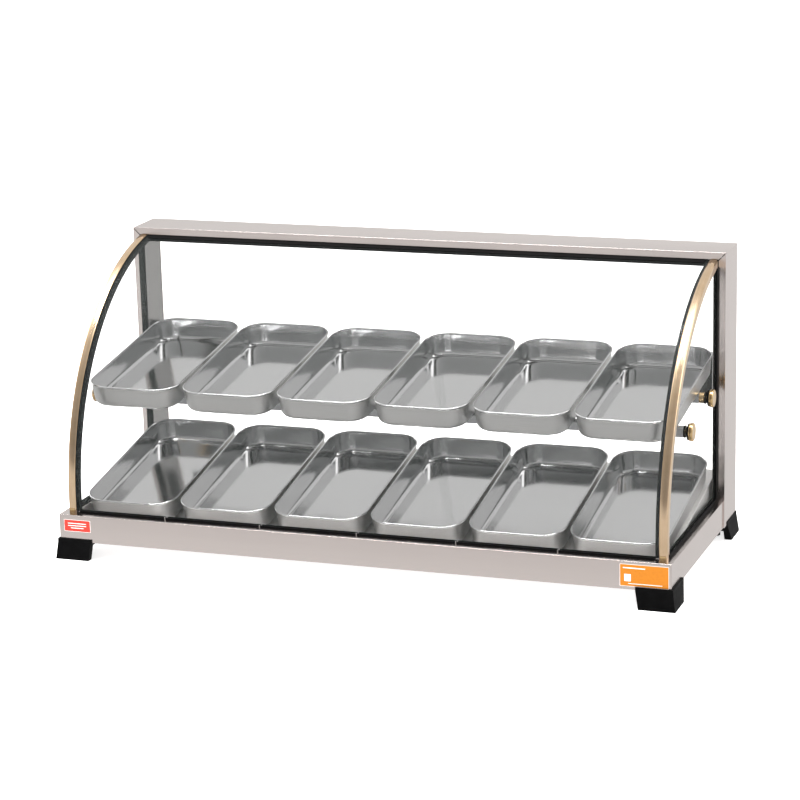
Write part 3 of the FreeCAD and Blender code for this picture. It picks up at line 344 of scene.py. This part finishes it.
def swept_along_curve(section, bottom, sweep):
    """A section of (x, distance off the pane) points swept up the front curve."""
    rings = []
    for (y, z), (out_y, out_z) in curve_path(bottom, sweep):
        rings.append([Vector((x, y + off * out_y, z + off * out_z)) for x, off in section])
    return bridged(rings)


SMALL_TURNED = 24  # sides of a small turned piece


def lathed(profile, centre, axis, segments=64):
    """A turned solid: profile holds (distance along axis, radius) points."""
    turn = axis.to_track_quat("Z", "Y").to_matrix()
    rings = []
    for along, radius in profile:
        ring = []
        for step in range(segments):
            angle = 2 * math.pi * step / segments
            local = Vector((radius * math.cos(angle), radius * math.sin(angle), along))
            ring.append(centre + turn @ local)
        rings.append(ring)
    return bridged(rings)


# ---------------------------------------------------------------- panes and trims


PANE_GROUND_EDGE = 0.4


def build_front_glass():
    """The curved front pane, with ground edges."""
    low, high = GLASS_LOW.x, GLASS_HIGH.x
    ground = PANE_GROUND_EDGE * MM
    section = [(low, -ground), (low + ground, 0.0), (high - ground, 0.0), (high, -ground),
               (high, ground - PANE_GAUGE), (high - ground, -PANE_GAUGE),
               (low + ground, -PANE_GAUGE), (low, ground - PANE_GAUGE)]
    points, faces = swept_along_curve(section, PANE_BOTTOM, PANE_SWEEP)
    new_piece("curved_front_pane", points, faces, "glass", "case",
              replaces=["front_glass"])


# (inwards from the trim's outer side, off the pane's front), in millimetres.
TRIM_SECTION = [
    (13.0, 0.02), (13.0, 1.1), (12.6, 1.6), (11.6, 2.1), (9.6, 2.6), (7.2, 2.8), (4.8, 2.7),
    (2.9, 2.3), (1.5, 1.6), (0.6, 0.6), (0.1, -0.8), (0.0, -2.4), (0.0, -10.4), (0.5, -11.0),
    (1.18, -11.0), (1.18, 0.02),
]


def build_trims():
    """Brass strips whose rounded backs wrap the corner of the front and side panes."""
    for name, side in SIDES.items():
        low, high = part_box(f"brass_trim_{name}")
        outer = high.x if side > 0 else low.x
        section = [(outer - side * inward * MM, off * MM) for inward, off in TRIM_SECTION]
        points, faces = swept_along_curve(section, BASE_TOP, TRIM_SWEEP)
        new_piece(f"brass_corner_{name}", points, faces, "brass", "case",
                  replaces=[f"brass_trim_{name}"])


# (distance along the axis, radius) from the back of the head to its face, in millimetres.
CAP_PROFILE = [
    (0.0, 9.0), (0.0, 12.6), (0.5, 13.4), (1.2, 13.9), (2.2, 14.0), (2.5, 13.5), (2.8, 13.5),
    (3.1, 14.0), (5.4, 14.0), (6.2, 13.6), (6.8, 12.6), (7.0, 11.4), (7.0, 4.0), (6.85, 2.0),
    (6.8, 0.3),
]
SHANK_RADIUS = 2.9
SHANK_LENGTH = 20
CAP_LENGTH = max(along for along, _ in CAP_PROFILE)


def build_caps():
    """Turned brass heads of the four standoffs, with the shanks behind them."""
    low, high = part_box("standoff_caps")
    profile = [(along * MM, radius * MM) for along, radius in CAP_PROFILE]
    shank = [(0.0, SHANK_RADIUS * MM), (-SHANK_LENGTH * MM, SHANK_RADIUS * MM)]
    parts = []
    for end in ("front", "rear"):
        bar_low, bar_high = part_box(f"shelf_bar_{end}")
        y, z = (bar_low.y + bar_high.y) / 2, (bar_low.z + bar_high.z) / 2
        for side in SIDES.values():
            outer = high.x if side > 0 else low.x
            centre = Vector((outer - side * CAP_LENGTH * MM, y, z))
            parts.append(lathed(profile, centre, Vector((side, 0, 0))))
            parts.append(lathed(shank, centre, Vector((side, 0, 0)), SMALL_TURNED))
    points, faces = gathered(parts)
    new_piece("standoff_heads", points, faces, "brass_turned", "case",
              replaces=["standoff_caps"])


# ---------------------------------------------------------------- pans

PAN_WIDTH = 155.0
PAN_LENGTH = 310.0
PAN_DEPTH = 35.5
PAN_CORNER = 38.0
PAN_GAUGE = 0.8
PAN_BEAD = 1.3
PAN_ROUND = 8.0
PAN_DRAFT = math.radians(6)
# A pan's wall in section: floor points beyond the round, heights on the wall, rolled rim.
PAN_FLOOR_INSETS = (9.0, 1.0)
PAN_WALL_LEVELS = (-22.0, -14.0, -6.0, -2.2)
ROUND_STEPS = 6
BEAD_STEPS = 14
BEAD_START = -88
BEAD_TURN = 318
PAN_TILT = {"lower": math.radians(10.5), "upper": math.radians(8.2)}


def pan_ring(inset, height, per_corner=12):
    """A rounded rectangle in a pan's own frame, whose origin is its front rim's middle."""
    half = PAN_WIDTH / 2 - inset
    near, far = inset, PAN_LENGTH - inset
    radius = PAN_CORNER - inset
    corners = [
        (half - radius, near + radius, -90), (half - radius, far - radius, 0),
        (radius - half, far - radius, 90), (radius - half, near + radius, 180),
    ]
    ring = []
    for x, y, start in corners:
        for step in range(per_corner + 1):
            angle = math.radians(start + 90 * step / per_corner)
            ring.append(Vector((x + radius * math.cos(angle), y + radius * math.sin(angle),
                                height)) * MM)
    return ring


def pan_section():
    """(inset, height) points from the outside of the floor over the rim to the inside."""
    tangent = math.tan(PAN_DRAFT)
    lean = math.cos(PAN_DRAFT)
    centre_z = PAN_ROUND - PAN_DEPTH
    centre = PAN_BEAD - centre_z * tangent + PAN_ROUND / lean

    def floor_round(radius, reverse):
        stops = range(ROUND_STEPS, -1, -1) if reverse else range(ROUND_STEPS + 1)
        arc = []
        for step in stops:
            angle = (math.pi / 2 - PAN_DRAFT) * step / ROUND_STEPS
            arc.append((centre - radius * math.sin(angle), centre_z - radius * math.cos(angle)))
        return arc

    outer = [(centre + inset, -PAN_DEPTH) for inset in PAN_FLOOR_INSETS]
    outer += floor_round(PAN_ROUND, False)
    outer += [(PAN_BEAD - z * tangent, z) for z in PAN_WALL_LEVELS]
    bead = []
    for step in range(BEAD_STEPS + 1):
        angle = math.radians(BEAD_START + BEAD_TURN * step / BEAD_STEPS)
        bead.append((PAN_BEAD - PAN_BEAD * math.cos(angle), PAN_BEAD * math.sin(angle)))
    wall = PAN_GAUGE / lean
    inner = [(PAN_BEAD - z * tangent + wall, z) for z in reversed(PAN_WALL_LEVELS)]
    inner += floor_round(PAN_ROUND - PAN_GAUGE, True)
    inner += [(centre + inset, PAN_GAUGE - PAN_DEPTH) for inset in reversed(PAN_FLOOR_INSETS)]
    return outer + bead + inner


# Rows of faces from the outside of the floor up to the rim's bead.
OUTSIDE_ROWS = len(PAN_FLOOR_INSETS) + ROUND_STEPS + len(PAN_WALL_LEVELS)


def build_pans():
    """Drawn pans, satin outside and bright inside."""
    rings = [pan_ring(inset, height) for inset, height in pan_section()]
    local_points, faces = bridged(rings)
    outside = OUTSIDE_ROWS * len(rings[0])
    for row, tilt in PAN_TILT.items():
        for number in range(1, 7):
            node = f"pan_{row}_{number}"
            low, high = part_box(node)
            front_y = low.y + PAN_BEAD * MM * (1 - math.cos(tilt))
            reach = (PAN_LENGTH - PAN_BEAD) * MM * math.sin(tilt)
            front_z = high.z - reach - PAN_BEAD * MM
            place = Matrix.Translation(Vector(((low.x + high.x) / 2, front_y, front_z)))
            place = place @ Matrix.Rotation(tilt, 4, "X")
            points = [place @ point for point in local_points]
            pan = new_piece(f"drawn_{node}", points, faces, "pan", node,
                            sharp=60.0, replaces=[node])
            pan.data.materials.append(materials["pan_outside"])
            for face in pan.data.polygons[:outside]:
                face.material_index = 1


# ---------------------------------------------------------------- labels


PLATE_STEPS = 5


def rounded_plate(name, low, high, y_face, gauge, radius, material):
    """A thin plate with rounded corners on the front fascia; low and high are (x, z)."""
    ring = []
    corners = [(high[0] - radius, high[1] - radius, 0), (low[0] + radius, high[1] - radius, 90),
               (low[0] + radius, low[1] + radius, 180), (high[0] - radius, low[1] + radius, 270)]
    for x, z, start in corners:
        for step in range(PLATE_STEPS + 1):
            angle = math.radians(start + 90 * step / PLATE_STEPS)
            ring.append((x + radius * math.cos(angle), z + radius * math.sin(angle)))
    rings = [[Vector((x, y_face, z)) for x, z in ring],
             [Vector((x, y_face - gauge, z)) for x, z in ring]]
    points, faces = bridged(rings)
    return new_piece(name, points, faces, material, "case")


# Each label: its coloured field and its blank bars, as insets and heights over the base.
LABELS = {
    "left": {"x": (8.3, 54.2), "z": (17.0, 36.5), "ink": "label_red",
             "slot": "switch_red", "bars": [((15, 47), (30.0, 31.2)), ((15, 47), (26.2, 27.4)),
                                            ((20, 42), (22.4, 23.6))]},
    "right": {"x": (4.0, 79.0), "z": (5.0, 39.5), "ink": "label_orange",
              "slot": "lamp_amber", "bars": [((40, 74), (33.0, 34.5)), ((14, 66), (9.0, 10.0)),
                                             ((62, 72), (13.0, 24.0))]},
}
LABEL_BORDER = 0.6
LABEL_FILM = 0.15
LABEL_CORNERS = {"border": 1.2, "field": 1.0, "bar": 0.4}


def build_labels():
    """Two plain film labels, with a pale border and blank bars, at the ends of the fascia."""
    face = FRAME_LOW.y
    floor = FRAME_LOW.z
    film = LABEL_FILM * MM
    for name, label in LABELS.items():
        side = SIDES[name]
        edge = FRAME_LOW.x if side < 0 else FRAME_HIGH.x

        def field(insets, heights, grow):
            across = sorted(edge - side * inset * MM for inset in insets)
            low = (across[0] - grow * MM, floor + (heights[0] - grow) * MM)
            high = (across[1] + grow * MM, floor + (heights[1] + grow) * MM)
            return low, high

        low, high = field(label["x"], label["z"], 0.0)
        rounded_plate(f"label_{name}_border", low, high, face, film,
                      LABEL_CORNERS["border"] * MM, "label_pale")
        low, high = field(label["x"], label["z"], -LABEL_BORDER)
        rounded_plate(f"label_{name}_field", low, high, face - film, film,
                      LABEL_CORNERS["field"] * MM, label["ink"])
        for number, (insets, heights) in enumerate(label["bars"], start=1):
            low, high = field(insets, heights, 0.0)
            rounded_plate(f"label_{name}_bar_{number}", low, high, face - 2 * film, film,
                          LABEL_CORNERS["bar"] * MM, "label_pale")


# ---------------------------------------------------------------- painted shade in the mitres, and rear details

SHADE_STRIP_WIDTH = 2.4
SHADE_STRIP_GAUGE = 1.0
SHADE_STRIP_SETBACK = 2.05  # just behind the portal's 2 mm face
SHADE_STRIP_START = 2.2
SHADE_STRIP_RUN = 11.0
SHADE_STRIP_INSET = 0.1


def build_mitre_shade_strips():
    """Black strips behind the open mitres of the portal's front corners: painted shade that
    darkens the gaps.
    """
    low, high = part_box("top_beam")
    back = low.y + SHADE_STRIP_SETBACK * MM
    run = SHADE_STRIP_RUN * MM
    wide = SHADE_STRIP_WIDTH * MM
    top = high.z - SHADE_STRIP_START * MM
    for name, side in SIDES.items():
        outer = high.x if side > 0 else low.x
        start = outer - side * SHADE_STRIP_INSET * MM
        ring = [(start, top),
                (start, top - wide),
                (outer - side * run, high.z - run - wide),
                (outer - side * run, high.z - run)]
        rings = [[Vector((x, y, z)) for x, z in ring] for y in (back, back + SHADE_STRIP_GAUGE * MM)]
        points, faces = bridged(rings)
        # Painted shade: a black strip fills the view through each mitre gap.
        new_piece(f"mitre_shade_strip_{name}", points, faces, "seal", "case")


SCREW_PROFILE = [(0.0, 3.0), (0.5, 3.0), (1.1, 2.6), (1.5, 1.8), (1.6, 0.9), (1.2, 0.85),
                 (1.2, 0.1)]
SCREW_INSET = 14
SCREW_RISE = 14
SCREW_COLUMNS = 5


def build_panel_screws():
    """Pan-head screws that hold the rear control panel."""
    low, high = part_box("rear_control_panel")
    middle = (low.z + high.z) / 2
    inset = SCREW_INSET * MM
    step = (high.x - low.x - 2 * inset) / (SCREW_COLUMNS - 1)
    profile = [(along * MM, radius * MM) for along, radius in SCREW_PROFILE]
    for number in range(SCREW_COLUMNS):
        for row, rise in (("upper", SCREW_RISE * MM), ("lower", -SCREW_RISE * MM)):
            centre = Vector((low.x + inset + number * step, high.y, middle + rise))
            points, faces = lathed(profile, centre, Vector((0, 1, 0)), SMALL_TURNED)
            new_piece(f"panel_screw_{row}_{number + 1}", points, faces, "bright", "case")


KNOB_RIBS = 18
RIB_REACH = (9.0, 10.7)
RIB_WIDTH = 0.9
RIB_START = 3.4
RIB_END = 0.8
DIAL_MARKS = 9
DIAL_TURN = 270
DIAL_REACH = (15.0, 18.0)
DIAL_WIDTH = 0.5
DIAL_FILM = 0.12
BAR_TAPER = 0.7


def radial_bar(centre, angle, near, far, wide, y_low, y_high):
    """A small bar that points away from a centre in the XZ plane."""
    out = Vector((math.sin(angle), 0, math.cos(angle)))
    across = Vector((math.cos(angle), 0, -math.sin(angle))) * wide
    rings = []
    for y in (y_low, y_high):
        level = Vector((centre.x, y, centre.z))
        rings.append([level + out * near - across, level + out * near + across,
                      level + out * far + across * BAR_TAPER,
                      level + out * far - across * BAR_TAPER])
    return bridged(rings)


def build_knob_details():
    """Grip ribs on the thermostat knob and blank marks round it on the panel."""
    low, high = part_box("thermostat_knob")
    centre = Vector(((low.x + high.x) / 2, 0, (low.z + high.z) / 2))
    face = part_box("rear_control_panel")[1].y
    near, far = (reach * MM for reach in RIB_REACH)
    for number in range(KNOB_RIBS):
        angle = 2 * math.pi * (number + 0.5) / KNOB_RIBS
        points, faces = radial_bar(centre, angle, near, far, RIB_WIDTH * MM,
                                   face + RIB_START * MM, high.y - RIB_END * MM)
        new_piece(f"knob_rib_{number + 1}", points, faces, "black_plastic", "knob")
    near, far = (reach * MM for reach in DIAL_REACH)
    for number in range(DIAL_MARKS):
        angle = math.radians(DIAL_TURN * (number / (DIAL_MARKS - 1) - 0.5))
        points, faces = radial_bar(centre, angle, near, far, DIAL_WIDTH * MM,
                                   face, face + DIAL_FILM * MM)
        new_piece(f"dial_mark_{number + 1}", points, faces, "seal", "case")


# ---------------------------------------------------------------- CAD nodes' finishes

FINISHES = {
    "steel_x": ["base_housing", "top_beam", "bottom_cover", "rear_control_panel"],
    "steel_z": ["left_post", "right_post"],
    # Painted shade: the jambs and the soffit take the darkened copy of the steel.
    "jamb": ["left_jamb", "right_jamb", "beam_soffit"],
    "deck": ["heated_deck"],
    "bar": ["shelf_bar_front", "shelf_bar_rear"],
    "glass": ["side_glass_left", "side_glass_right", "door_glass_left", "door_glass_right"],
    "brass_turned": ["trim_end_clips", "standoff_spacers"],
    "seal": ["beam_gasket", "curve_seals", "front_base_gasket", "side_base_gaskets",
             "post_gaskets", "standoff_washers"],
    "foot": ["foot_front_left", "foot_front_right", "foot_rear_left", "foot_rear_right"],
    "bright": ["gasket_clips", "foot_screws"],
    "aluminium": ["bottom_door_track", "top_door_track", "heat_reflector", "element_saddles"],
    "black_plastic": ["door_pull_left", "door_pull_right", "thermostat_knob", "power_switch",
                      "cord_gland", "thermostat"],
    "red_plastic": ["switch_rocker"],
    "amber_lens": ["pilot_lamp"],
    "element": ["heating_element"],
    "cream_plastic": ["terminal_block"],
}
# Widths of the bevels, in millimetres.
BEVELS = {
    "base_housing": 0.5, "top_beam": 0.9, "left_post": 0.9, "right_post": 0.9,
    "heated_deck": 0.5, "shelf_bar_front": 1.0, "shelf_bar_rear": 1.0,
    "foot_front_left": 2.4, "foot_front_right": 2.4, "foot_rear_left": 2.4,
    "foot_rear_right": 2.4, "side_glass_left": 0.4, "side_glass_right": 0.4,
    "door_pull_left": 0.6, "door_pull_right": 0.6, "thermostat_knob": 0.7, "power_switch": 0.5,
    "switch_rocker": 0.4, "pilot_lamp": 0.6, "cord_gland": 0.8, "front_base_gasket": 0.6,
    "side_base_gaskets": 0.6, "post_gaskets": 0.6, "bottom_door_track": 0.3,
    "top_door_track": 0.3, "trim_end_clips": 0.4,
}


WELD_REACH = 0.01
BEVEL_SEGMENTS = 3
BEVEL_ANGLE = math.radians(40)


def finish_cad_nodes():
    """Gives the CAD nodes that show their materials, and eases their sharp edges."""
    for material, names in FINISHES.items():
        for name in names:
            node = nodes[name]
            node.data.materials.clear()
            node.data.materials.append(materials[material])
    for name, width in BEVELS.items():
        node = nodes[name]
        weld = node.modifiers.new("weld", "WELD")
        weld.merge_threshold = WELD_REACH * MM
        bevel = node.modifiers.new("bevel", "BEVEL")
        bevel.width = width * MM
        bevel.segments = BEVEL_SEGMENTS
        bevel.limit_method = "ANGLE"
        bevel.angle_limit = BEVEL_ANGLE
        bevel.harden_normals = True


# ---------------------------------------------------------------- room, light and camera

AZIMUTH = math.radians(20.25)
ELEVATION = math.radians(15.55)
ROLL = math.radians(-1.62)
DISTANCE = 4.309
TARGET = Vector((0.0, -0.0565, 0.179))
LENS = 123.5
SHIFT = (0.0194, 0.0577)
VIEW_END = 100.0


def build_camera():
    """A long lens from the customer's right, a little above, rolled slightly."""
    back = Vector((math.sin(AZIMUTH) * math.cos(ELEVATION),
                   -math.cos(AZIMUTH) * math.cos(ELEVATION), math.sin(ELEVATION)))
    level = Vector((0, 0, 1)).cross(back).normalized()
    rise = back.cross(level)
    across = level * math.cos(ROLL) + rise * math.sin(ROLL)
    up = rise * math.cos(ROLL) - level * math.sin(ROLL)
    data = bpy.data.cameras.new("camera")
    data.sensor_width = 36.0
    data.lens = LENS
    data.shift_x, data.shift_y = SHIFT
    data.clip_end = VIEW_END
    camera = bpy.data.objects.new("camera", data)
    turn = Matrix((across, up, back)).transposed().to_4x4()
    camera.matrix_world = Matrix.Translation(TARGET + back * DISTANCE) @ turn
    bpy.context.scene.collection.objects.link(camera)
    bpy.context.scene.camera = camera


FLOOR_GLOW = 0.75
FLOOR_HALF_SIZE = 40.0


def build_floor():
    """A pale, softly glowing sheet; metal reflects the studio instead of it."""
    size = FLOOR_HALF_SIZE
    mesh = bpy.data.meshes.new("floor")
    corners = [(-size, -size, 0), (size, -size, 0), (size, size, 0), (-size, size, 0)]
    mesh.from_pydata(corners, [], [(0, 1, 2, 3)])
    kit = Nodes("pale_floor")
    kit.set(Base_Color=(0.95, 0.95, 0.95, 1.0), Roughness=0.75, Specular_IOR_Level=0.1,
            Emission_Color=(1.0, 1.0, 1.0, 1.0), Emission_Strength=FLOOR_GLOW)
    mesh.materials.append(kit.material)
    floor = bpy.data.objects.new("floor", mesh)
    floor.visible_glossy = False
    bpy.context.scene.collection.objects.link(floor)


LIGHTS = {
    "key": {"place": (-2.2, -2.6, 3.4), "aim": (0, 0, 0.2), "size": (2.4, 2.4), "power": 110,
            "mirrored": False},
    "top": {"place": (0.0, -0.2, 3.4), "aim": (0, 0, 0.1), "size": (3.4, 1.0), "power": 150,
            "mirrored": True},
}


def area_light(name, place, aim, size, power, mirrored):
    """A soft rectangular light; unless it is mirrored, metal doesn't show it."""
    data = bpy.data.lights.new(name, "AREA")
    data.shape = "RECTANGLE"
    data.size, data.size_y = size
    data.energy = power
    light = bpy.data.objects.new(name, data)
    light.location = place
    light.visible_glossy = mirrored
    light.rotation_euler = (Vector(aim) - Vector(place)).to_track_quat("-Z", "Y").to_euler()
    bpy.context.scene.collection.objects.link(light)


# How bright the studio is: over the horizon by the sum of Y and half of Z, under it by Z.
SKY_STOPS = [(0.05, 0.30), (0.42, 0.50), (0.62, 0.74), (0.66, 2.6), (0.83, 2.6), (0.89, 0.78)]
HORIZON_SHARPNESS = 12.0
WARMTH = (1.0, 0.99, 0.98)
GROUND_STOPS = [(0.05, 0.40), (0.25, 0.58), (0.70, 0.76), (1.0, 0.90)]


def build_world():
    """A studio that metal reflects: darker on the customer's side, a bright band overhead.

    Colours are shown with the plain Standard transform.
    """
    world = bpy.data.worlds.new("studio")
    world.use_nodes = True
    tree = world.node_tree
    place = tree.nodes.new("ShaderNodeTexCoord")
    parts = tree.nodes.new("ShaderNodeSeparateXYZ")
    tree.links.new(place.outputs["Generated"], parts.inputs["Vector"])

    def fitted(value, factor, shift):
        node = tree.nodes.new("ShaderNodeMath")
        node.operation = "MULTIPLY_ADD"
        node.inputs[1].default_value = factor
        if isinstance(shift, float):
            node.inputs[2].default_value = shift
        else:
            tree.links.new(shift, node.inputs[2])
        tree.links.new(value, node.inputs[0])
        return node.outputs["Value"]

    def brightness(value, stops):
        node = tree.nodes.new("ShaderNodeValToRGB")
        points = node.color_ramp.elements
        while len(points) < len(stops):
            points.new(0.5)
        for point, (position, level) in zip(points, stops):
            point.position = position
            point.color = (*shade(WARMTH, level), 1.0)
        tree.links.new(value, node.inputs["Fac"])
        return node.outputs["Color"]

    over = fitted(parts.outputs["Z"], 0.5, parts.outputs["Y"])
    sky = brightness(fitted(over, 0.5, 0.5), SKY_STOPS)
    ground = brightness(fitted(parts.outputs["Z"], 1.0, 1.0), GROUND_STOPS)
    join = tree.nodes.new("ShaderNodeMix")
    join.data_type = "RGBA"
    tree.links.new(fitted(parts.outputs["Z"], HORIZON_SHARPNESS, 0.5), join.inputs["Factor"])
    tree.links.new(ground, join.inputs[6])
    tree.links.new(sky, join.inputs[7])
    background = tree.nodes["Background"]
    background.inputs["Strength"].default_value = 1.0
    tree.links.new(join.outputs[2], background.inputs["Color"])
    bpy.context.scene.world = world
    bpy.context.scene.view_settings.view_transform = "Standard"


build_front_glass()
build_trims()
build_caps()
build_pans()
build_labels()
build_mitre_shade_strips()
build_panel_screws()
build_knob_details()
finish_cad_nodes()
build_floor()
build_world()
for light_name, settings in LIGHTS.items():
    area_light(light_name, **settings)
build_camera()
